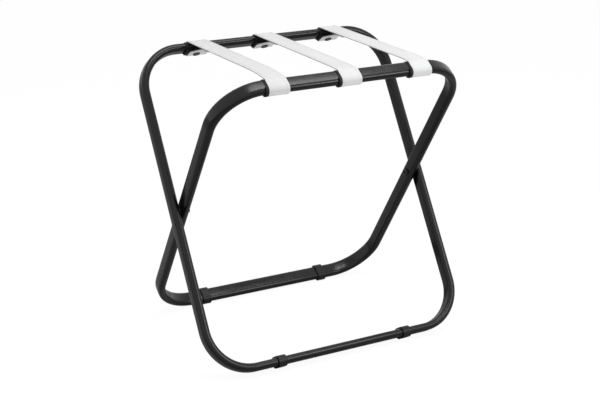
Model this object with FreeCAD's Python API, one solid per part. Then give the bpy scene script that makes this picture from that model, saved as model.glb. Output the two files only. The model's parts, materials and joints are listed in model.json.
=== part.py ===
"""Folding luggage rack: two crossed loops of flat-oval steel tube and three carrying straps.

Millimetres, +Z up, +X to the right, +Y to the back.  The origin is on the floor, under the
middle of the rack.  The outer loop has its top rail at the back and its bottom rail at the
front; the inner loop stands the other way round and turns inside it on two pivot screws.
"""

import FreeCAD
import Part
import os
from math import acos, atan2, cos, degrees, hypot, radians, sin

V = FreeCAD.Vector

# ---------------------------------------------------------------- driving dimensions

# flat-oval tube, its wide side square to the plane of the loop
TUBE_THIN = 14.0
TUBE_WIDE = 27.0
TUBE_WALL = 1.5

# the loops
OUTER_WIDTH = 503.0          # over the outer faces of the outer loop's legs
RAIL_HEIGHT = 483.0          # top rails above the bottom rails, centre to centre
RAIL_SPREAD = 313.0          # front rails to back rails, centre to centre, straps taut
OUTER_BEND = 76.0            # bend radii of the tube's centre line
INNER_BEND = 79.0

# foot rings round the bottom rails
FOOT_LENGTH = 16.0
FOOT_WALL = 3.0
FOOT_PITCH = 248.0           # left ring to right ring, centre to centre
FOOT_FLAT = 0.5              # depth of the flat pressed on the ring by the floor
FOOT_EDGE = 0.8              # rounding of the ring's rims

# pivot hardware, one set on each side
LEG_GAP = 2.0                # between the outer and the inner leg
PIVOT_PLAY = 0.1             # end play at each rubbing face
PIVOT_RUN = 0.05             # radial clearance of the shoulder in its bush
SHOULDER = 8.0               # diameters of the shoulder screw
THREAD = 6.0
SCREW_HEAD = 12.0
HEAD_HEIGHT = 2.8
HEAD_EDGE = 1.0
SOCKET = 5.0                 # hexagon socket across flats
SOCKET_DEPTH = 1.8
BUSH_WALL = 1.0
BUSH_FLANGE = 14.0
BUSH_FLANGE_THICK = 1.0
NUT_FLANGE = 12.0
NUT_FLANGE_THICK = 0.8
NUT_SHANK = 9.0
NUT_BULGE = 10.6
NUT_BULGE_LENGTH = 2.5
NUT_DEPTH = 9.0              # how far the rivet nut reaches into the leg
WASHER = 16.0

# straps, their sleeves and their studs
STRAP_WIDTH = 37.0
STRAP_THICK = 1.8
MIDDLE_STRAP = 1.7           # middle strap off the rack's middle
SLEEVE_LENGTH = 38.0
SLEEVE_WALL = 0.9
HEEL = 4.2                   # sleeve's thickness under the rail, where the stud goes through
HEEL_PAST_LOW = 1.5          # heel's lower and upper edges past those of the rail's flat
HEEL_PAST_HIGH = 4.5
HEEL_ROUND = 3.0
LUG_WALL = 3.2               # thick lip round the lower left of a front sleeve, beside the strap
LUG_LENGTH = 5.0
LUG_REACH = 2.5              # how far it stands out past the thin end
LUG_EDGE = 0.9
LEFT_PAST_BEND = 2.0         # how far the end sleeves reach onto the inner loop's bends
RIGHT_PAST_BEND = 3.4
FRONT_SLIDE = -2.5           # how far the front sleeves have slid under their straps
BACK_SLIDES = (-4.5, -1.0, -1.5)
STUD_HEAD = 13.0
STUD_HEAD_THICK = 1.6
STUD_EDGE = 0.8
STUD_SHANK = 4.0
STUD_REACH = 3.0             # how far the stud's point stands inside the tube
STUD_RISE = 2.5              # stud axis above the middle of the rail's flat
BACK_STUDS = (-3.0, 0.5, -1.6)   # how far the back studs stand off their straps' middles
STRAP_END = 3.0              # strap left beyond the rim of the stud head
TAIL_SLOPE = 16.0            # degrees at which the tail climbs back to the strap
TAIL_EASE = 25.0             # bend radius where the tail leaves the rail
TAIL_BEND = 60.0             # bend radius where the tail meets the strap
LAP_LENGTH = 16.0            # tail sewn under the strap
LAP_PRESS = 0.3              # how far the stitches pull the tail into the strap

# clearances
SNUG = 0.1                   # rings, sleeves, bushes and nuts round or in the tube
SOFT_GAP = 0.2               # strap to its sleeve and to the studs

# ---------------------------------------------------------------- derived sizes

LEAN = degrees(atan2(RAIL_SPREAD, RAIL_HEIGHT))          # of each loop from upright
LOOP_HEIGHT = hypot(RAIL_SPREAD, RAIL_HEIGHT)            # rail to rail along the legs
OUTER_SPAN = OUTER_WIDTH - TUBE_THIN                     # leg to leg, centre to centre
INNER_SPAN = OUTER_SPAN - 2 * (TUBE_THIN + LEG_GAP)
BEND_START = INNER_SPAN / 2 - INNER_BEND                 # end of the inner rails' straight
CORE = (TUBE_WIDE - TUBE_THIN) / 2                       # half the flat of the oval
SLEEVE_OUT = SNUG + SLEEVE_WALL                          # sleeve's outside above the tube
STRAP_IN = SLEEVE_OUT + SOFT_GAP
STRAP_OUT = STRAP_IN + STRAP_THICK
HEEL_LOW = CORE + HEEL_PAST_LOW                          # heel's edges from the middle of the flat
HEEL_HIGH = CORE + HEEL_PAST_HIGH
HEEL_OUT = SNUG + HEEL                                   # heel's face below the tube's flat
HEEL_STRAP = HEEL_OUT + SOFT_GAP                         # strap's near face over the heel
FOOT_OUT = SNUG + FOOT_WALL
FOOT_DROP = CORE * sin(radians(LEAN)) + TUBE_THIN / 2 + FOOT_OUT
PIVOT_HEIGHT = RAIL_HEIGHT / 2 + FOOT_DROP - FOOT_FLAT
PIVOT_FACE = OUTER_SPAN / 2 - TUBE_THIN / 2              # inner face of the outer leg
INNER_FACE = INNER_SPAN / 2 - TUBE_THIN / 2              # inner face of the inner leg
BUSH_BORE = SHOULDER / 2 + PIVOT_RUN
BUSH_RADIUS = BUSH_BORE + BUSH_WALL
STUD_HOLE = STUD_SHANK / 2 + SNUG
STRAP_HOLE = STUD_SHANK / 2 + SOFT_GAP
FLAT_END = STUD_RISE + STUD_HEAD / 2 + SOFT_GAP          # strap lies flat on the heel as far as here
LEFT_STRAP = SLEEVE_LENGTH / 2 - BEND_START - LEFT_PAST_BEND - FRONT_SLIDE
RIGHT_STRAP = BEND_START + RIGHT_PAST_BEND - SLEEVE_LENGTH / 2 - FRONT_SLIDE
STRAP_CENTRES = (LEFT_STRAP, MIDDLE_STRAP, RIGHT_STRAP)
BACK_STUD_CENTRES = tuple(centre + off for centre, off in zip(STRAP_CENTRES, BACK_STUDS))

SIDES = {"left": -1, "right": 1}
STRAPS = ("left", "middle", "right")
OUTER = -1                   # sign of each loop's lean, and of its upward wide axis
INNER = 1

# ---------------------------------------------------------------- solids round the tube


def oval(centre, thin_axis, wide_axis, thin, wide):
    """Flat-oval face: two straight sides a width apart, closed by half circles."""
    core = wide_axis * ((wide - thin) / 2)
    side = thin_axis * (thin / 2)
    tip = wide_axis * (wide / 2)
    edges = [
        Part.LineSegment(centre + core + side, centre - core + side),
        Part.Arc(centre - core + side, centre - tip, centre - core - side),
        Part.LineSegment(centre - core - side, centre + core - side),
        Part.Arc(centre + core - side, centre + tip, centre + core + side),
    ]
    return Part.Face(Part.Wire([edge.toShape() for edge in edges]))


def solid_loop(span, bend, thin, wide):
    """Closed rounded rectangle of solid oval bar in the XZ plane, round the pivot."""
    half_width = span / 2
    half_height = LOOP_HEIGHT / 2
    straight_x = half_width - bend
    straight_z = half_height - bend
    pieces = []
    for end in (-1, 1):
        rail = oval(V(-straight_x, 0, end * half_height), V(0, 0, 1), V(0, 1, 0), thin, wide)
        leg = oval(V(end * half_width, 0, -straight_z), V(1, 0, 0), V(0, 1, 0), thin, wide)
        pieces.append(rail.extrude(V(2 * straight_x, 0, 0)))
        pieces.append(leg.extrude(V(0, 0, 2 * straight_z)))
        for side in (-1, 1):
            section = oval(V(side * straight_x, 0, end * half_height), V(0, 0, 1), V(0, 1, 0), thin, wide)
            centre = V(side * straight_x, 0, end * straight_z)
            pieces.append(section.revolve(centre, V(0, 1, 0), 90 * side * end))
    return pieces[0].multiFuse(pieces[1:]).removeSplitter()


def tube_loop(span, bend):
    """The loop as drawn tube, open all the way round inside."""
    outside = solid_loop(span, bend, TUBE_THIN, TUBE_WIDE)
    inside = solid_loop(span, bend, TUBE_THIN - 2 * TUBE_WALL, TUBE_WIDE - 2 * TUBE_WALL)
    return outside.cut(inside)


def rail_ring(x_centre, height, length, wall, edge):
    """Closed ring round a rail at the given height, its outer rims rounded if edge isn't 0."""
    outer = SNUG + wall
    start = V(x_centre - length / 2, 0, height)
    body = oval(start, V(0, 0, 1), V(0, 1, 0), TUBE_THIN + 2 * outer, TUBE_WIDE + 2 * outer)
    body = body.extrude(V(length, 0, 0))
    if edge:
        body = body.makeFillet(edge, [rim for rim in body.Edges if rim.BoundBox.XLength < edge])
    return body.cut(rail_bore(start, length, SNUG))


def rail_bore(start, length, gap):
    """What a rail takes up along a length from its start, with a gap all round."""
    section = oval(start, V(0, 0, 1), V(0, 1, 0), TUBE_THIN + 2 * gap, TUBE_WIDE + 2 * gap)
    return section.extrude(V(length, 0, 0))


def placed(shape, loop):
    """Lean a solid made round the pivot with its loop, and lift it to the pivot."""
    shape = shape.copy()
    shape.rotate(V(0, 0, 0), V(1, 0, 0), loop * LEAN)
    shape.translate(V(0, 0, PIVOT_HEIGHT))
    return shape


# ---------------------------------------------------------------- pivot hardware


def along_x(side, radius, start, end):
    """Cylinder on the pivot axis between two distances from the middle."""
    return Part.makeCylinder(radius, end - start, V(side * start, 0, 0), V(side, 0, 0))


def pivot_screw(side):
    """Shoulder screw: low head inside the inner leg, thread in the outer leg's nut."""
    seat = INNER_FACE - BUSH_FLANGE_THICK - PIVOT_PLAY
    shoulder_end = PIVOT_FACE - NUT_FLANGE_THICK
    head = along_x(side, SCREW_HEAD / 2, seat - HEAD_HEIGHT, seat)
    top = [edge for edge in head.Edges if abs(abs(edge.CenterOfMass.x) - seat + HEAD_HEIGHT) < HEAD_EDGE]
    head = head.makeFillet(HEAD_EDGE, [edge for edge in top if edge.BoundBox.XLength < HEAD_EDGE])
    screw = head.fuse(along_x(side, SHOULDER / 2, seat, shoulder_end))
    screw = screw.fuse(along_x(side, THREAD / 2, shoulder_end, PIVOT_FACE + NUT_DEPTH - TUBE_WALL))
    corner = SOCKET / 2 / cos(radians(30))
    points = [V(0, corner * cos(radians(60 * k)), corner * sin(radians(60 * k))) for k in range(7)]
    socket = Part.Face(Part.makePolygon(points)).extrude(V(side * SOCKET_DEPTH, 0, 0))
    socket.translate(V(side * (seat - HEAD_HEIGHT), 0, 0))
    return screw.cut(socket).removeSplitter()


def pivot_bush(side):
    """Flanged plastic bush through both walls of the inner leg."""
    flange_face = INNER_FACE - BUSH_FLANGE_THICK
    bush = along_x(side, BUSH_FLANGE / 2, flange_face, INNER_FACE)
    bush = bush.fuse(along_x(side, BUSH_RADIUS, INNER_FACE, INNER_FACE + TUBE_THIN))
    return bush.cut(along_x(side, BUSH_BORE, flange_face, INNER_FACE + TUBE_THIN))


def pivot_washer(side):
    """Plastic washer that keeps the two legs apart."""
    face = PIVOT_FACE - NUT_FLANGE_THICK
    start = INNER_FACE + TUBE_THIN + PIVOT_PLAY
    return along_x(side, WASHER / 2, start, face).cut(along_x(side, SHOULDER / 2 + SNUG, start, face))


def pivot_nut(side):
    """Rivet nut set in the inner wall of the outer leg, so nothing shows outside."""
    back_of_wall = PIVOT_FACE + TUBE_WALL
    nut = along_x(side, NUT_FLANGE / 2, PIVOT_FACE - NUT_FLANGE_THICK, PIVOT_FACE)
    nut = nut.fuse(along_x(side, NUT_SHANK / 2, PIVOT_FACE, PIVOT_FACE + NUT_DEPTH))
    nut = nut.fuse(along_x(side, NUT_BULGE / 2, back_of_wall, back_of_wall + NUT_BULGE_LENGTH))
    bore = along_x(side, THREAD / 2 + PIVOT_RUN, PIVOT_FACE - NUT_FLANGE_THICK, PIVOT_FACE + NUT_DEPTH)
    return nut.cut(bore).removeSplitter()


# ---------------------------------------------------------------- studs


def up_through_rail(loop, x_centre, radius, start, end):
    """Cylinder on a stud's axis, between two depths below the top rail's centre line."""
    foot = V(x_centre, loop * STUD_RISE, LOOP_HEIGHT / 2 - start)
    return Part.makeCylinder(radius, start - end, foot, V(0, 0, 1))


def strap_stud(loop, x_centre):
    """Large-headed drive screw that holds the strap and its sleeve to the rail."""
    seat = TUBE_THIN / 2 + HEEL_STRAP + STRAP_THICK + SOFT_GAP
    head = up_through_rail(loop, x_centre, STUD_HEAD / 2, seat + STUD_HEAD_THICK, seat)
    low = head.BoundBox.ZMin
    rim = [edge for edge in head.Edges if edge.BoundBox.ZMax < low + STUD_EDGE]
    head = head.makeFillet(STUD_EDGE, rim)
    point = TUBE_THIN / 2 - TUBE_WALL - STUD_REACH
    return head.fuse(up_through_rail(loop, x_centre, STUD_SHANK / 2, seat, point)).removeSplitter()


# ---------------------------------------------------------------- straps, drawn in the YZ plane


class Line:
    """Straight stretch of a strap's middle line."""

    def __init__(self, start, end):
        self.start = start
        self.end = end

    def mirrored(self):
        """The same stretch on the other rail, walked the other way."""
        return Line(flipped(self.end), flipped(self.start))

    def beside(self, distance):
        """Edge at a distance to the left of the walk."""
        heading = (self.end - self.start).normalize()
        shift = V(0, -heading.z, heading.y) * distance
        return Part.LineSegment(self.start + shift, self.end + shift).toShape()


class Arc:
    """Round stretch, between two angles in degrees from +Y towards +Z."""

    def __init__(self, centre, radius, begin, finish):
        self.centre = centre
        self.radius = radius
        self.begin = begin
        self.finish = finish
        self.end = self.at(finish, radius)

    def at(self, angle, radius):
        return self.centre + direction(angle) * radius

    def mirrored(self):
        """The same stretch on the other rail, walked the other way."""
        return Arc(flipped(self.centre), self.radius, 180 - self.finish, 180 - self.begin)

    def beside(self, distance):
        """Edge at a distance to the left of the walk."""
        radius = self.radius - distance if self.finish > self.begin else self.radius + distance
        middle = (self.begin + self.finish) / 2
        points = [self.at(angle, radius) for angle in (self.begin, middle, self.finish)]
        return Part.Arc(*points).toShape()


def direction(angle):
    return V(0, cos(radians(angle)), sin(radians(angle)))


def flipped(point):
    return V(point.x, -point.y, point.z)


def band(path):
    """Face of the strap's thickness along a path of tangent lines and arcs."""
    left = [stretch.beside(STRAP_THICK / 2) for stretch in path]
    right = [stretch.beside(-STRAP_THICK / 2) for stretch in path]
    ends = [
        Part.LineSegment(left[0].firstVertex().Point, right[0].firstVertex().Point).toShape(),
        Part.LineSegment(left[-1].lastVertex().Point, right[-1].lastVertex().Point).toShape(),
    ]
    return Part.Face(Part.Wire(Part.__sortEdges__(left + right + ends)))


def wrap(flat_end):
    """Round the back rail: from the top, over the outer flat and the heel, to a place on the heel's face."""
    rail = V(0, RAIL_SPREAD / 2, PIVOT_HEIGHT + RAIL_HEIGHT / 2)
    radius = TUBE_THIN / 2 + (STRAP_IN + STRAP_OUT) / 2
    upward = direction(180 - LEAN)
    outward = direction(90 - LEAN)
    upper = rail + upward * CORE
    lower = rail - upward * CORE
    face = TUBE_THIN / 2 + HEEL_OUT
    corner = rail - upward * (HEEL_LOW - HEEL_ROUND) - outward * (face - HEEL_ROUND)
    corner_radius = HEEL_ROUND + SOFT_GAP + STRAP_THICK / 2

    # the straight from the tube's lower round to the heel's corner touches both
    along = HEEL_ROUND - HEEL_LOW + CORE
    across = face - HEEL_ROUND
    rise = degrees(acos((radius - corner_radius) / hypot(along, across)) - atan2(along, across))
    leave = Arc(lower, radius, 90 - LEAN, rise - 90 - LEAN)
    turn = Arc(corner, corner_radius, rise - 90 - LEAN, -90 - LEAN)
    return [
        Arc(upper, radius, 90, 90 - LEAN),
        Line(upper + outward * radius, lower + outward * radius),
        leave,
        Line(leave.end, turn.at(turn.begin, turn.radius)),
        turn,
        Line(turn.end, turn.end + upward * (HEEL_LOW - HEEL_ROUND + flat_end)),
    ]


def tail(start, run_height):
    """From the inner flat of the back rail up to the strap, ending in the sewn lap."""
    ease = Arc(start - direction(90 - LEAN) * TAIL_EASE, TAIL_EASE, 90 - LEAN, 90 - TAIL_SLOPE)
    lap_height = run_height - STRAP_THICK + LAP_PRESS
    bend_rise = TAIL_BEND * (1 - cos(radians(TAIL_SLOPE)))
    climb = (lap_height - bend_rise - ease.end.z) / sin(radians(TAIL_SLOPE))
    bend_start = ease.end + direction(180 - TAIL_SLOPE) * climb
    bend = Arc(bend_start - direction(90 - TAIL_SLOPE) * TAIL_BEND, TAIL_BEND, 90 - TAIL_SLOPE, 90)
    lap = Line(bend.end, bend.end - V(0, LAP_LENGTH, 0))
    return [ease, Line(ease.end, bend_start)], [bend, lap]


def strap(x_centre, back_stud):
    """One strap: fixed under the front rail, over both rails and back to its own underside."""
    front = [stretch.mirrored() for stretch in reversed(wrap(FLAT_END + STRAP_END))]
    back = wrap(FLAT_END)
    top = back[0].at(90, back[0].radius)
    climb, lap = tail(back[-1].end, top.z)
    body = band(front + [Line(flipped(top), top)] + back + climb)
    width = V(STRAP_WIDTH, 0, 0)
    solid = body.extrude(width).fuse(band(lap).extrude(width)).removeSplitter()
    solid.translate(V(x_centre - STRAP_WIDTH / 2, 0, 0))
    for loop, stud in ((OUTER, back_stud), (INNER, x_centre)):
        hole = up_through_rail(loop, stud, STRAP_HOLE, TUBE_THIN / 2 + HEEL_STRAP + 2 * STRAP_THICK, TUBE_THIN / 2)
        solid = solid.cut(placed(hole, loop))
    return solid


# ---------------------------------------------------------------- nodes


def frame(loop, span, bend):
    """A loop with its pivot holes and the stud holes in the underside of its top rail."""
    tube = tube_loop(span, bend)
    for side in SIDES.values():
        if loop == OUTER:
            tube = tube.cut(along_x(side, NUT_SHANK / 2 + SNUG, PIVOT_FACE - TUBE_WALL, PIVOT_FACE + 2 * TUBE_WALL))
        else:
            tube = tube.cut(along_x(side, BUSH_RADIUS + SNUG, INNER_FACE - TUBE_WALL, PIVOT_FACE))
    for stud in BACK_STUD_CENTRES if loop == OUTER else STRAP_CENTRES:
        tube = tube.cut(up_through_rail(loop, stud, STUD_HOLE, TUBE_THIN, 0))
    return placed(tube, loop)


def foot(loop, side):
    """Foot ring on a bottom rail, flattened where it stands."""
    ring = rail_ring(side * FOOT_PITCH / 2, -LOOP_HEIGHT / 2, FOOT_LENGTH, FOOT_WALL, FOOT_EDGE)
    ring = placed(ring, loop)
    size = 2 * OUTER_WIDTH
    floor = Part.makeBox(size, size, size, V(-size / 2, -size / 2, -size))
    return ring.cut(floor)


def sleeve(loop, x_centre, stud):
    """Sleeve between a top rail and a strap: a thin ring with a heel for the stud, and in front a lug."""
    left = x_centre - SLEEVE_LENGTH / 2
    middle = V(left, 0, LOOP_HEIGHT / 2)
    face = TUBE_THIN / 2 + HEEL_OUT
    low, high = sorted((-loop * HEEL_LOW, loop * HEEL_HIGH))
    heel = Part.makeBox(SLEEVE_LENGTH, high - low, face, middle + V(0, low, -face))
    corners = [edge for edge in heel.Edges if edge.BoundBox.XLength > HEEL_ROUND
               and edge.BoundBox.ZMax < middle.z - face + LUG_EDGE]
    heel = heel.makeFillet(HEEL_ROUND, corners)
    solids = [heel.cut(rail_bore(middle, SLEEVE_LENGTH, SNUG))]
    if loop == INNER:
        start = middle - V(LUG_REACH, CORE, 0)
        lug = Part.makeCylinder(TUBE_THIN / 2 + SNUG + LUG_WALL, LUG_LENGTH, start, V(1, 0, 0))
        lug = lug.makeFillet(LUG_EDGE, [edge for edge in lug.Edges if edge.BoundBox.XLength < LUG_EDGE])
        lug = lug.cut(Part.makeBox(LUG_LENGTH, TUBE_WIDE, 2 * TUBE_WIDE, start - V(0, 0, TUBE_WIDE)))
        solids.append(lug.cut(rail_bore(start + V(0, CORE, 0), LUG_LENGTH, SOFT_GAP)))
    ring = rail_ring(x_centre, LOOP_HEIGHT / 2, SLEEVE_LENGTH, SLEEVE_WALL, 0)
    body = ring.multiFuse(solids).removeSplitter()
    hole = up_through_rail(loop, stud, STUD_HOLE, face + STRAP_THICK, 0)
    return placed(body.cut(hole), loop)


def nodes():
    """Every piece of the rack, by the name of its node."""
    made = {
        "outer_frame": frame(OUTER, OUTER_SPAN, OUTER_BEND),
        "inner_frame": frame(INNER, INNER_SPAN, INNER_BEND),
    }
    for name, side in SIDES.items():
        made["outer_foot_" + name] = foot(OUTER, side)
        made["inner_foot_" + name] = foot(INNER, side)
        made["pivot_screw_" + name] = placed(pivot_screw(side), OUTER)
        made["pivot_nut_" + name] = placed(pivot_nut(side), OUTER)
        made["pivot_washer_" + name] = placed(pivot_washer(side), OUTER)
        made["pivot_bush_" + name] = placed(pivot_bush(side), INNER)
    for place, name in enumerate(STRAPS):
        x_centre = STRAP_CENTRES[place]
        back_stud = BACK_STUD_CENTRES[place]
        made["strap_" + name] = strap(x_centre, back_stud)
        made["back_sleeve_" + name] = sleeve(OUTER, x_centre + BACK_SLIDES[place], back_stud)
        made["front_sleeve_" + name] = sleeve(INNER, x_centre + FRONT_SLIDE, x_centre)
        made["back_stud_" + name] = placed(strap_stud(OUTER, back_stud), OUTER)
        made["front_stud_" + name] = placed(strap_stud(INNER, x_centre), INNER)
    return made


def main():
    os.makedirs("parts", exist_ok=True)
    for name, shape in nodes().items():
        if not shape.isValid() or not shape.Solids:
            raise ValueError(name + " is not a valid solid")
        shape.exportStep(os.path.join("parts", name + ".step"))
        box = shape.BoundBox
        print(f"{name:22s} solids {len(shape.Solids)}  volume {shape.Volume:10.1f} mm3  "
              f"x {box.XMin:7.1f} {box.XMax:7.1f}  y {box.YMin:7.1f} {box.YMax:7.1f}  "
              f"z {box.ZMin:6.1f} {box.ZMax:6.1f}")


main()
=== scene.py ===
"""Studio scene of the folding luggage rack: sewn straps, coated tube and a white studio.

Lengths are in metres.  +X is to the right along the rails, +Y to the back and +Z up.
"""

import json
from math import acos, atan2, cos, hypot, pi, radians, sin, sqrt

import bpy
import numpy as np
from mathutils import Matrix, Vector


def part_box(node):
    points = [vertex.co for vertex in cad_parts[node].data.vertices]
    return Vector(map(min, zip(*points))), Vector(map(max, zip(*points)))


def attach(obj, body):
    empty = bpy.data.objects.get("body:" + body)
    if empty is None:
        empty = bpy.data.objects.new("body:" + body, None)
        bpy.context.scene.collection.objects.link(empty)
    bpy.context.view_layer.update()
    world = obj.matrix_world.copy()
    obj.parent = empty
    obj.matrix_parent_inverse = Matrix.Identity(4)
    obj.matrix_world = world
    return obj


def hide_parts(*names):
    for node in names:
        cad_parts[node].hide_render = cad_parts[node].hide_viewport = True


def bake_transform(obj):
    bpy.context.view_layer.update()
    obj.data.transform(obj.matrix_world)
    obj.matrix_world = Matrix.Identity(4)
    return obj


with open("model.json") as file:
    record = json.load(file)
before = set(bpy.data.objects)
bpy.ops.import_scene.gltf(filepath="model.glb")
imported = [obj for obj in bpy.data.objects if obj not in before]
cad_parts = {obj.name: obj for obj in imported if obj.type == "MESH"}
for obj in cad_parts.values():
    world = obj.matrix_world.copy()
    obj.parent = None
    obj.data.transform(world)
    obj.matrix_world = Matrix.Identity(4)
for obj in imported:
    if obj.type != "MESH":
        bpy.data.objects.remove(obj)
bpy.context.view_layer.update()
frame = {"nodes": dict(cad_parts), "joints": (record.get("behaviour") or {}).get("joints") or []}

MM = 0.001

# ---------------------------------------------------------------- sizes of the rack

TUBE_THIN = 14 * MM
TUBE_WIDE = 27 * MM
RAIL_HEIGHT = 483 * MM           # top rails above the bottom rails, centre to centre
RAIL_SPREAD = 313 * MM           # front rails to back rails, centre to centre
OUTER_BEND = 76 * MM
INNER_BEND = 79 * MM
STRAP_THICK = 1.8 * MM
STRAP_OUT = 3.0 * MM             # strap's outside above the tube
HEEL_STRAP = 4.5 * MM            # strap's near face below the tube, over the sleeve's heel
HEEL_LOW = 8 * MM                # heel's lower edge from the middle of the tube's flat
HEEL_ROUND = 3 * MM
SOFT_GAP = 0.2 * MM              # strap to its sleeve
FLAT_END = 9.2 * MM              # strap lies on the heel as far as here
FRONT_END = 12.2 * MM            # cut end of the strap under the front rail
TAIL_EASE = 25 * MM
TAIL_SLOPE = radians(16)
TAIL_BEND = 60 * MM
LAP_LENGTH = 16 * MM
LAP_GAP = 0.05 * MM              # between the tail and the strap it is sewn to
# how each strap lies, in radians: its fall to the back, and its slope off the front rail
LIE = {"left": (0.014, 0.135), "middle": (0.003, 0.06), "right": (0.004, 0.07)}

LEAN = atan2(RAIL_SPREAD, RAIL_HEIGHT)
LOOP_HEIGHT = hypot(RAIL_SPREAD, RAIL_HEIGHT)
CORE = (TUBE_WIDE - TUBE_THIN) / 2                      # half the flat of the tube
PIVOT_HEIGHT = frame["joints"][0]["pos_m"][2]
WRAP = TUBE_THIN / 2 + STRAP_OUT - STRAP_THICK / 2      # strap's middle line round the rail

# strap's section and stitches
SEAM_IN = 4.6 * MM               # row of stitches in from the strap's edge
SEAM_WIDE = 0.7 * MM
SEAM_DEEP = 0.32                 # share of the half thickness
PANEL_THIN = 0.12                # how much thinner the single middle is than the folded edges
STITCH_PITCH = 4.4 * MM
STITCH_LENGTH = 3.5 * MM
THREAD = 0.36 * MM               # radius
PANEL_IN = 1.2 * MM              # thinner middle starts this far inside the seam
PANEL_EASE = 0.35 * MM           # width of the soft step there
PANEL_STAND = 3 * MM             # points of the panel keep this far from the seam
PULL_RIPPLE = 0.4                # share of the seam's depth that comes and goes along it
BEAD_PINCH = 0.96                # how nearly a stitch closes at its ends
BEAD_RISE = 0.25                 # stitch's middle above the strap, in thread radii
BEAD_DIVE = 1.1                  # how far its ends go down from there, in thread radii
RIB_PITCH = 1.15 * MM            # weave along the strap
PICK_PITCH = 1.5 * MM            # weave across it

# fineness of the surfaces
TUBE_STEP = 3 * MM
TUBE_ROUND = 17                  # points on each half circle of the tube's section
STRAP_STEP = 1.1 * MM
STRAP_ROUND = 9                  # points round a folded edge, with its two corners
SEAM_POINTS = 9
PANEL_POINTS = 7
BEAD_POINTS = 7                  # along a stitch, and round it with the first one twice

# studio
CAMERA_AZIMUTH = radians(-28.13)
CAMERA_ELEVATION = radians(19.48)
CAMERA_ROLL = radians(0.19)      # turn about its own line of sight
CAMERA_DISTANCE = 2.2832
CAMERA_AIM = (-2.2 * MM, 0, 235.8 * MM)
LENS = 76.55                     # millimetres
SENSOR = 36                      # millimetres
ROOM_FILL = 0.42                 # world's strength on dull surfaces; 1 when seen or mirrored
FLOOR_GREY = 0.68
FLOOR_GLOW = 1.16
FLOOR_SEEN = 0.8                 # share of glow in the floor that the camera sees
FLOOR_BOUNCE = 0.65              # share of glow in the floor that lights dull surfaces
FLOOR_HALF = 6                   # metres
FLOOR_DROP = 0.2 * MM            # below the feet
# name, place, aim, size across and along, watts
LAMPS = (
    ("overhead", (0.18, -0.21, 1.75), (0, 0, 0.4), (1.0, 0.38), 9.2),
    ("front", (0.66, -1.2, 0.98), (0, -0.1, 0.35), (0.27, 0.75), 5),
)


# ---------------------------------------------------------------- surfaces


def mesh_piece(name, points, faces, material, smooth=True):
    """Object at the origin from an array of points and lists of their indices."""
    mesh = bpy.data.meshes.new(name)
    mesh.from_pydata(points.reshape(-1, 3).tolist(), [], faces)
    mesh.polygons.foreach_set("use_smooth", np.full(len(mesh.polygons), smooth))
    mesh.materials.append(material)
    piece = bpy.data.objects.new(name, mesh)
    bpy.context.scene.collection.objects.link(piece)
    return piece


def grid_faces(rows, columns, wrap_rows=False):
    """Quads of a grid whose columns close round, and whose rows close too when wrapped.

    They face outward round the strap's outline, and the tube and the stitches reverse them.
    """
    row = np.arange(rows if wrap_rows else rows - 1)[:, None]
    column = np.arange(columns)[None, :]
    ahead = (row + 1) % rows
    beside = (column + 1) % columns
    corners = [row * columns + column, row * columns + beside,
               ahead * columns + beside, ahead * columns + column]
    spread = [np.broadcast_to(corner, (row.size, columns)) for corner in corners]
    return np.stack(spread, axis=-1).reshape(-1, 4)


def walk(start, heading, stretches, step):
    """Line in a plane from straights and arcs, each given as a length and a turn.

    The heading grows evenly over a stretch, and the points are the running sum of its
    cosine and sine, taken halfway along each step.
    """
    lengths = np.array([length for length, turn in stretches])
    turns = np.array([turn for length, turn in stretches])
    knots = np.concatenate([[0], np.cumsum(lengths)])
    headings = heading + np.concatenate([[0], np.cumsum(turns)])
    along = np.concatenate([np.linspace(a, b, max(2, int((b - a) / step) + 1))[:-1]
                            for a, b in zip(knots[:-1], knots[1:])] + [knots[-1:]])
    middle = np.interp((along[1:] + along[:-1]) / 2, knots, headings)
    moves = np.diff(along)[:, None] * np.stack([np.cos(middle), np.sin(middle)], axis=1)
    points = np.array(start) + np.concatenate([[[0, 0]], np.cumsum(moves, axis=0)])
    return along, points, np.interp(along, knots, headings)


# ---------------------------------------------------------------- shader arithmetic


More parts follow.
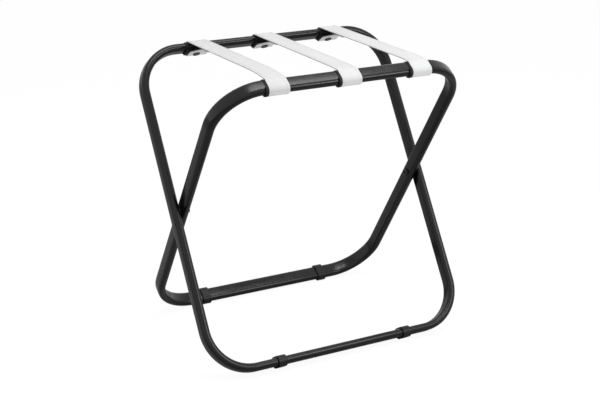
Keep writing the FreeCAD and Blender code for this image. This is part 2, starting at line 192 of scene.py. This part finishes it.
class Field:
    """A shader socket in an expression: arithmetic on it adds Math nodes to its tree."""

    def __init__(self, socket):
        self.socket = socket

    def node(self, kind, settings=None, inputs=None, output=0):
        """Any node, from its type, settings, sockets' values or links, and the output wanted."""
        tree = self.socket.id_data
        made = tree.nodes.new(kind)
        for name, value in (settings or {}).items():
            setattr(made, name, value)
        for name, value in (inputs or {}).items():
            if isinstance(value, Field):
                tree.links.new(value.socket, made.inputs[name])
            else:
                made.inputs[name].default_value = value
        return Field(made.outputs[output])

    def math(self, operation, *values):
        return self.node("ShaderNodeMath", {"operation": operation}, dict(enumerate(values)))

    def __add__(self, other):
        return self.math("ADD", self, other)

    __radd__ = __add__

    def __mul__(self, other):
        return self.math("MULTIPLY", self, other)

    __rmul__ = __mul__

    def sine(self):
        return self.math("SINE", self)

    def above(self, low, high):
        """0 below low, 1 above high, and smooth between."""
        inputs = {"Value": self, "From Min": low, "From Max": high}
        return self.node("ShaderNodeMapRange", {"interpolation_type": "SMOOTHSTEP"}, inputs)

    def noise(self, scale, detail, roughness):
        inputs = {"Vector": self, "Scale": scale, "Detail": detail, "Roughness": roughness}
        return self.node("ShaderNodeTexNoise", None, inputs)

    def part(self, index):
        """X, Y or Z of a vector."""
        return self.node("ShaderNodeSeparateXYZ", None, {0: self}, index)

    def stretched(self, x, y, z):
        return self.node("ShaderNodeVectorMath", {"operation": "MULTIPLY"}, {0: self, 1: (x, y, z)})

    def mix(self, first, second):
        """Colour between two, by this field.

        The node's colour sockets share their names with its other kinds, so they go by number.
        """
        return self.node("ShaderNodeMix", {"data_type": "RGBA"}, {0: self, 6: first, 7: second}, 2)

    def bump(self, distance, strength):
        inputs = {"Height": self, "Distance": distance, "Strength": strength}
        return self.node("ShaderNodeBump", None, inputs)


class Finish:
    """A material with one Principled shader, and the coordinates that its fields start from."""

    def __init__(self, name):
        self.material = bpy.data.materials.new(name)
        self.material.use_nodes = True
        self.tree = self.material.node_tree
        self.shader = self.tree.nodes["Principled BSDF"]
        coordinates = self.tree.nodes.new("ShaderNodeTexCoord")
        self.place = Field(coordinates.outputs["Object"])
        self.uv = Field(coordinates.outputs["UV"])

    def set(self, **sockets):
        """Put a value or a field on each named socket of the shader; _ stands for a space."""
        for name, value in sockets.items():
            socket = self.shader.inputs[name.replace("_", " ")]
            if isinstance(value, Field):
                self.tree.links.new(value.socket, socket)
            else:
                socket.default_value = value
        return self.material


def grey(level, warm=0.0):
    """Linear grey, a little warmer or cooler."""
    return (level * (1 + warm), level, level * (1 - warm), 1)


# ---------------------------------------------------------------- finishes


def powder_coat():
    """Black satin powder coat: fine orange peel, gloss in patches and a little dust on top."""
    finish = Finish("black_powder_coat")
    peel = finish.place.noise(scale=900, detail=2.0, roughness=0.55)
    clouds = finish.place.noise(scale=28, detail=3.0, roughness=0.6)
    normal = finish.place.node("ShaderNodeNewGeometry", output=1)
    dust = normal.part(2).above(0.5, 1.0) * clouds.above(0.42, 0.75)
    colour = (dust * 0.3).mix(grey(0.0045, -0.03), grey(0.026, 0.02))
    return finish.set(
        Base_Color=colour,
        Roughness=0.17 + 0.09 * clouds + dust * 0.06,
        Normal=peel.bump(distance=0.00012, strength=0.4),
        Specular_IOR_Level=0.32,
    )


def moulded_plastic(name, level, roughness):
    """Moulded black plastic: spark-eroded grain and faint flow marks."""
    finish = Finish(name)
    grain = finish.place.noise(scale=1500, detail=3.0, roughness=0.6)
    flow = finish.place.stretched(1, 0.3, 1).noise(scale=120, detail=2.0, roughness=0.5)
    colour = flow.mix(grey(level * 0.8), grey(level * 1.25))
    return finish.set(
        Base_Color=colour,
        Roughness=roughness + 0.12 * grain,
        Normal=grain.bump(distance=0.00008, strength=0.5),
        Specular_IOR_Level=0.3,
    )


def soft_rubber():
    """Black rubber sleeve: dull, finely pitted, bloomed paler in patches."""
    finish = Finish("black_rubber")
    pits = finish.place.noise(scale=1100, detail=4.0, roughness=0.65)
    bloom = finish.place.noise(scale=90, detail=3.0, roughness=0.6)
    colour = bloom.above(0.35, 0.8).mix(grey(0.005), grey(0.011))
    return finish.set(
        Base_Color=colour,
        Roughness=0.55 + 0.2 * bloom,
        Normal=pits.bump(distance=0.0001, strength=0.6),
        Specular_IOR_Level=0.3,
    )


def turned_steel(name, level, metallic, roughness):
    """Machined steel under its coating: fine marks, and a tone that varies in patches."""
    finish = Finish(name)
    marks = finish.place.noise(scale=2400, detail=2.0, roughness=0.7)
    stain = finish.place.noise(scale=260, detail=3.0, roughness=0.6)
    colour = stain.mix(grey(level * 0.7), grey(level * 1.2))
    return finish.set(
        Base_Color=colour,
        Metallic=metallic,
        Roughness=roughness + 0.14 * marks,
        Normal=marks.bump(distance=0.00005, strength=0.4),
    )


def coated_webbing():
    """White coated webbing: a faint weave under the coat, and painted shade that makes the folded
    edges, the faces looking along the rails, darker grey.

    The UV map holds metres along the strap and across it.
    """
    finish = Finish("white_strap")
    along = finish.uv.part(0)
    across = finish.uv.part(1)
    rib = (along * (2 * pi / RIB_PITCH)).sine()
    pick = (across * (2 * pi / PICK_PITCH)).sine()
    weave = rib * pick * 0.5 + 0.5
    grain = finish.place.noise(scale=1300, detail=3.0, roughness=0.6)
    handled = finish.place.stretched(1, 0.35, 1).noise(scale=38, detail=3.0, roughness=0.55)
    normal = finish.place.node("ShaderNodeNewGeometry", output=1)
    sideways = normal.part(0)
    # painted shade: faces of the strap that look along the rails are coloured darker, standing in
    # for the shade on its sides
    painted_side_shade = sideways.math("ABSOLUTE", sideways).above(0.45, 0.9)
    face = handled.above(0.35, 0.75).mix(grey(0.815, -0.004), grey(0.775, 0.004))
    # the face colour, mixed towards dark grey by the painted side shade
    colour = (painted_side_shade * 0.75).mix(face, grey(0.42))
    height = weave * 0.35 + grain * 0.65
    return finish.set(
        Base_Color=colour,
        Roughness=0.5 + 0.14 * grain,
        Normal=height.bump(distance=0.00012, strength=0.45),
        Sheen_Weight=0.05,
    )


def sewing_thread():
    """White bonded thread, its tone varying finely with the twist."""
    finish = Finish("white_thread")
    twist = finish.place.noise(scale=2600, detail=1.0, roughness=0.5)
    return finish.set(
        Base_Color=twist.mix(grey(0.60), grey(0.80)),
        Roughness=0.55 + 0.1 * twist,
        Normal=twist.bump(distance=0.00008, strength=0.6),
    )


# ---------------------------------------------------------------- loops of tube


def oval_section(thin, wide, steps):
    """Flat-oval outline round the tube's middle: half circles joined by straights."""
    half = np.linspace(-pi / 2, pi / 2, steps)
    core = (wide - thin) / 2
    far = np.stack([np.sin(half) * thin / 2, core + np.cos(half) * thin / 2], axis=1)
    return np.concatenate([far, -far])


def leaned(points, lean):
    """Points made round the pivot in the loop's own upright plane, leaned and lifted to the pivot.

    The lean is a turn about the X axis: depth and height are mixed by its cosine and sine.
    """
    x, y, z = points[..., 0], points[..., 1], points[..., 2]
    depth = y * cos(lean) - z * sin(lean)
    height = y * sin(lean) + z * cos(lean) + PIVOT_HEIGHT
    return np.stack([x, depth, height], axis=-1)


def tube_loop(node, bend, lean, material):
    """Closed loop: the oval is carried along four straights and four quarter turns."""
    low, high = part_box(node)
    span = high[0] - low[0] - TUBE_THIN
    across = span - 2 * bend
    upward = LOOP_HEIGHT - 2 * bend
    quarter = (bend * pi / 2, pi / 2)
    sides = [(across, 0), quarter, (upward, 0), quarter] * 2
    points, heading = walk((-across / 2, -LOOP_HEIGHT / 2), 0, sides, TUBE_STEP)[1:]
    points, heading = points[:-1], heading[:-1]
    section = oval_section(TUBE_THIN, TUBE_WIDE, TUBE_ROUND)
    outward = np.stack([np.sin(heading), -np.cos(heading)], axis=1)
    in_plane = points[:, None, :] + outward[:, None, :] * section[None, :, :1]
    depth = np.broadcast_to(section[None, :, 1:], in_plane[..., :1].shape)
    grid = leaned(np.concatenate([in_plane[..., :1], depth, in_plane[..., 1:]], axis=-1), lean)
    faces = grid_faces(len(points), len(section), wrap_rows=True)[:, ::-1]
    loop = mesh_piece(node + "_tube", grid, faces.tolist(), material)
    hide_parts(node)
    return loop


# ---------------------------------------------------------------- straps


def strap_line(fall, roll):
    """Middle line of a strap in the YZ plane, from its front cut end to the end of the back lap.

    The stiff strap leaves the front rail at the slope called roll, turns over on a large
    arc and falls evenly to the back rail.  The arc's radius, the run's length and the
    tail's climb are those that make the stretches meet.
    """
    rail = np.array([-RAIL_SPREAD / 2, PIVOT_HEIGHT + RAIL_HEIGHT / 2])
    outward = np.array([-sin(LEAN), cos(LEAN)])
    upward = np.array([cos(LEAN), sin(LEAN)])
    face = TUBE_THIN / 2 + HEEL_STRAP + STRAP_THICK / 2
    start = rail - outward * face + upward * FRONT_END
    span = RAIL_SPREAD - 2 * CORE * cos(LEAN)
    swell = span * sin(fall) / (1 - cos(roll + fall))
    run = span * cos(fall) - swell * sin(roll + fall)

    # the straight between the heel's corner and the tube's lower round touches both
    corner = HEEL_ROUND + SOFT_GAP + STRAP_THICK / 2
    along = HEEL_ROUND - HEEL_LOW + CORE
    across = face - corner
    rise = acos((WRAP - corner) / hypot(along, across)) - atan2(along, across)
    straight = sqrt(along ** 2 + across ** 2 - (WRAP - corner) ** 2)
    to_heel = [(WRAP * (pi - rise), rise - pi), (straight, 0), (corner * rise, -rise)]

    # the tail's climb, measured square to the run from the back rail's upper round
    square = np.array([sin(fall), cos(fall)])
    inward = np.array([-cos(LEAN), sin(LEAN)])
    down = np.array([-sin(LEAN), -cos(LEAN)])
    ease_turn = LEAN - TAIL_SLOPE
    bend_turn = TAIL_SLOPE - fall
    ease = np.array([sin(TAIL_SLOPE), cos(TAIL_SLOPE)]) * TAIL_EASE
    ease_end = down * (face + TAIL_EASE) - inward * (CORE - FLAT_END) + ease
    depth = WRAP - STRAP_THICK - LAP_GAP - TAIL_BEND * (1 - cos(bend_turn))
    climb = (depth - square @ ease_end) / sin(bend_turn)
    flat = HEEL_LOW - HEEL_ROUND
    stretches = [
        (FRONT_END + flat, 0),
        *reversed(to_heel),
        (2 * CORE, 0),
        (WRAP * (LEAN - roll), roll - LEAN),
        ((WRAP + swell) * (roll + fall), -roll - fall),
        (run, 0),
        (WRAP * (LEAN - fall), fall - LEAN),
        (2 * CORE, 0),
        *to_heel,
        (flat + FLAT_END, 0),
        (TAIL_EASE * ease_turn, ease_turn),
        (climb, 0),
        (TAIL_BEND * bend_turn, bend_turn),
        (LAP_LENGTH, 0),
    ]
    return walk(start, pi + LEAN, stretches, STRAP_STEP)


def strap_section(width):
    """Outline across a strap: round folded edges, and points close together at the seams."""
    painted_side_shade = width / 2 - STRAP_THICK / 2
    seam = width / 2 - SEAM_IN
    near = np.linspace(-2, 2, SEAM_POINTS) * SEAM_WIDE
    panel = np.linspace(PANEL_STAND - seam, seam - PANEL_STAND, PANEL_POINTS)
    margin = np.array([painted_side_shade - MM, painted_side_shade])
    across = np.concatenate([-margin[::-1], near - seam, panel, near + seam, margin])
    angle = np.linspace(pi / 2, -pi / 2, STRAP_ROUND)[1:-1]
    right = np.stack([painted_side_shade + np.cos(angle) * STRAP_THICK / 2, np.sin(angle)], axis=1)
    top = np.stack([across, np.ones_like(across)], axis=1)
    return np.concatenate([top, right, -top, -right])


def puff(across, along, width):
    """Share of the half thickness kept: thinner in the middle panel, and drawn in at the seams.

    The panel begins in a soft step inside each seam.  Each seam is a bell-shaped channel,
    deepest between two stitches, where the thread goes down, by a cosine along the seam.
    """
    seam = width / 2 - SEAM_IN
    panel = 1 / (1 + np.exp((np.abs(across) - seam + PANEL_IN) / PANEL_EASE))
    channel = np.exp(-((np.abs(across) - seam) / SEAM_WIDE) ** 2)
    pull = 1 - PULL_RIPPLE + PULL_RIPPLE * np.cos(2 * pi * along / STITCH_PITCH)
    return 1 - PANEL_THIN * panel - SEAM_DEEP * channel * pull


def strap_points(line, along, across, height, centre):
    """Points at a distance along the strap, across it and above its middle line."""
    distance, points, heading = line
    y = np.interp(along, distance, points[:, 0])
    z = np.interp(along, distance, points[:, 1])
    turn = np.interp(along, distance, heading)
    place = [centre + across, y - height * np.sin(turn), z + height * np.cos(turn)]
    return np.stack(place, axis=-1)


def strap_band(name, line, centre, width, material):
    """The strap itself, its section carried along its line and closed at both cut ends."""
    distance = line[0]
    section = strap_section(width)
    along = np.broadcast_to(distance[:, None], (len(distance), len(section)))
    across = np.broadcast_to(section[:, 0], along.shape)
    height = section[:, 1] * STRAP_THICK / 2 * puff(across, along, width)
    grid = strap_points(line, along, across, height, centre)
    faces = grid_faces(*along.shape).tolist()
    count = along.size
    ends = [list(range(len(section) - 1, -1, -1)), list(range(count - len(section), count))]
    band = mesh_piece(name, grid, faces + ends, material)
    corners = np.zeros(len(band.data.loops), dtype=np.int32)
    band.data.loops.foreach_get("vertex_index", corners)
    metres = np.stack([along.ravel(), across.ravel()], axis=1)
    layer = band.data.uv_layers.new(name="metres")
    layer.data.foreach_set("uv", metres[corners].ravel())
    return band


def stitch_rows(line, width):
    """Middle, offset across and side of every stitch: two rows on each face of the strap."""
    seam = width / 2 - SEAM_IN
    rows = []
    middles = np.arange(STITCH_PITCH / 2, line[0][-1] - STITCH_PITCH / 2, STITCH_PITCH)
    for offset in (-seam, seam):
        for side in (-1, 1):
            row = [middles, np.full_like(middles, offset), np.full_like(middles, side)]
            rows.append(np.stack(row, axis=1))
    return np.concatenate(rows)


def stitching(name, line, centre, width, material):
    """Every stitch as a short pinched bead of thread that dives into the strap at both ends.

    The bead thins with the fourth power of the way to its ends and dives with the square.
    Those on the under face are turned half round and not mirrored, so all face outward.
    """
    stitches = stitch_rows(line, width)[:, None, None, :]
    middle, offset, side = stitches[..., 0], stitches[..., 1], stitches[..., 2]
    lengthwise = np.linspace(-1, 1, BEAD_POINTS)[None, :, None]
    angle = np.linspace(0, 2 * pi, BEAD_POINTS)[None, None, :-1]
    radius = THREAD * np.sqrt(1 - BEAD_PINCH * lengthwise ** 4)
    along = middle + lengthwise * STITCH_LENGTH / 2 + np.zeros_like(angle)
    across = offset + side * radius * np.cos(angle)
    face = STRAP_THICK / 2 * puff(offset, along, width)
    lift = face + THREAD * (BEAD_RISE - BEAD_DIVE * lengthwise ** 2) + radius * np.sin(angle)
    grid = strap_points(line, along, across, side * lift, centre)
    count, rows, columns = along.shape
    bead = grid_faces(rows, columns)[:, ::-1]
    first = (np.arange(count) * rows * columns)[:, None, None]
    faces = (bead[None] + first).reshape(-1, 4)
    return mesh_piece(name, grid, faces.tolist(), material)


def add_strap(place, webbing, thread):
    """One strap with its stitches, lying over the rails between the two loops."""
    node = "strap_" + place
    low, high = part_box(node)
    centre = (low[0] + high[0]) / 2
    width = high[0] - low[0]
    line = strap_line(*LIE[place])
    band = strap_band("sewn_strap_" + place, line, centre, width, webbing)
    seams = stitching("stitches_" + place, line, centre, width, thread)
    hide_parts(node)
    for piece in (band, seams):
        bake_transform(piece)


# ---------------------------------------------------------------- studio


def facing(right, back):
    """Turn of a camera or lamp from its right and the way opposite to its aim."""
    return Matrix(np.stack([right, np.cross(back, right), back], axis=1).tolist()).to_4x4()


def camera():
    """Long lens, seen from the front left and a little above."""
    reach = cos(CAMERA_ELEVATION)
    back = np.array([sin(CAMERA_AZIMUTH) * reach, -cos(CAMERA_AZIMUTH) * reach,
                     sin(CAMERA_ELEVATION)])
    right = np.array([cos(CAMERA_AZIMUTH), sin(CAMERA_AZIMUTH), 0])
    turn = facing(right, back) @ Matrix.Rotation(CAMERA_ROLL, 4, "Z")
    data = bpy.data.cameras.new("camera")
    data.sensor_width = SENSOR
    data.lens = LENS
    eye = bpy.data.objects.new("camera", data)
    eye.matrix_world = Matrix.Translation(np.array(CAMERA_AIM) + back * CAMERA_DISTANCE) @ turn
    bpy.context.scene.collection.objects.link(eye)
    bpy.context.scene.camera = eye


def softbox(name, place, aim, size, watts):
    """Rectangular lamp, its size across and along, pointed at a place."""
    data = bpy.data.lights.new(name, "AREA")
    data.shape = "RECTANGLE"
    data.size, data.size_y = size
    data.energy = watts
    lamp = bpy.data.objects.new(name, data)
    back = np.array(place) - np.array(aim)
    back = back / np.linalg.norm(back)
    right = np.cross([0, 1, 0], back)
    right = right / np.linalg.norm(right)
    lamp.matrix_world = Matrix.Translation(place) @ facing(right, back)
    bpy.context.scene.collection.objects.link(lamp)


def white_room():
    """White world and floor; the floor keeps a soft shadow."""
    world = bpy.data.worlds.new("studio")
    world.use_nodes = True
    bpy.context.scene.world = world
    background = world.node_tree.nodes["Background"]
    ray = Field(world.node_tree.nodes.new("ShaderNodeLightPath").outputs["Is Camera Ray"])
    glossy = ray.node("ShaderNodeLightPath", output="Is Glossy Ray")
    level = ray.math("MAXIMUM", ray, glossy)
    strength = ROOM_FILL + (1 - ROOM_FILL) * level
    world.node_tree.links.new(strength.socket, background.inputs["Strength"])
    background.inputs["Color"].default_value = (1, 1, 1, 1)

    material = bpy.data.materials.new("white_floor")
    material.use_nodes = True
    tree = material.node_tree
    shader = tree.nodes["Principled BSDF"]
    shader.inputs["Base Color"].default_value = grey(FLOOR_GREY)
    shader.inputs["Roughness"].default_value = 1
    shader.inputs["Specular IOR Level"].default_value = 0
    seen = Field(tree.nodes.new("ShaderNodeLightPath").outputs["Is Camera Ray"])
    diffuse = seen.node("ShaderNodeLightPath", output="Is Diffuse Ray")
    glow = seen.node("ShaderNodeEmission", None, {"Color": (1, 1, 1, 1), "Strength": FLOOR_GLOW})
    share = seen * FLOOR_SEEN + diffuse * FLOOR_BOUNCE
    mixed = seen.node("ShaderNodeMixShader", None, {0: share, 1: Field(shader.outputs[0]), 2: glow})
    tree.links.new(mixed.socket, tree.nodes["Material Output"].inputs["Surface"])
    square = np.array([[-1, -1, 0], [1, -1, 0], [1, 1, 0], [-1, 1, 0]]) * FLOOR_HALF
    floor = mesh_piece("floor", square - [0, 0, FLOOR_DROP], [[0, 1, 2, 3]], material, smooth=False)


# ---------------------------------------------------------------- dressing the rack


def dress(prefix, material):
    """Give a finish to every CAD node whose name starts so."""
    for name, node in frame["nodes"].items():
        if name.startswith(prefix):
            for slot in node.material_slots:
                slot.material = material


bpy.context.scene.view_settings.view_transform = "Standard"
camera()
coat = powder_coat()
for loop, body, bend, lean in (("outer_frame", "outer_loop", OUTER_BEND, -LEAN),
                               ("inner_frame", "inner_loop", INNER_BEND, LEAN)):
    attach(tube_loop(loop, bend, lean, coat), body)
webbing = coated_webbing()
thread = sewing_thread()
for place in ("left", "middle", "right"):
    add_strap(place, webbing, thread)
ring = moulded_plastic("black_ring_plastic", level=0.0045, roughness=0.3)
nylon = moulded_plastic("black_nylon", level=0.016, roughness=0.42)
sleeve = soft_rubber()
dress("outer_foot", ring)
dress("inner_foot", ring)
dress("pivot_bush", nylon)
dress("pivot_washer", nylon)
dress("back_sleeve", sleeve)
dress("front_sleeve", sleeve)
dress("back_stud", turned_steel("dark_stud", level=0.06, metallic=0.6, roughness=0.34))
dress("front_stud", turned_steel("dark_front_stud", level=0.06, metallic=0.6, roughness=0.34))
dress("pivot_screw", turned_steel("black_oxide", level=0.03, metallic=0.5, roughness=0.36))
dress("pivot_nut", turned_steel("zinc_plate", level=0.55, metallic=1.0, roughness=0.3))
white_room()
for lamp in LAMPS:
    softbox(*lamp)
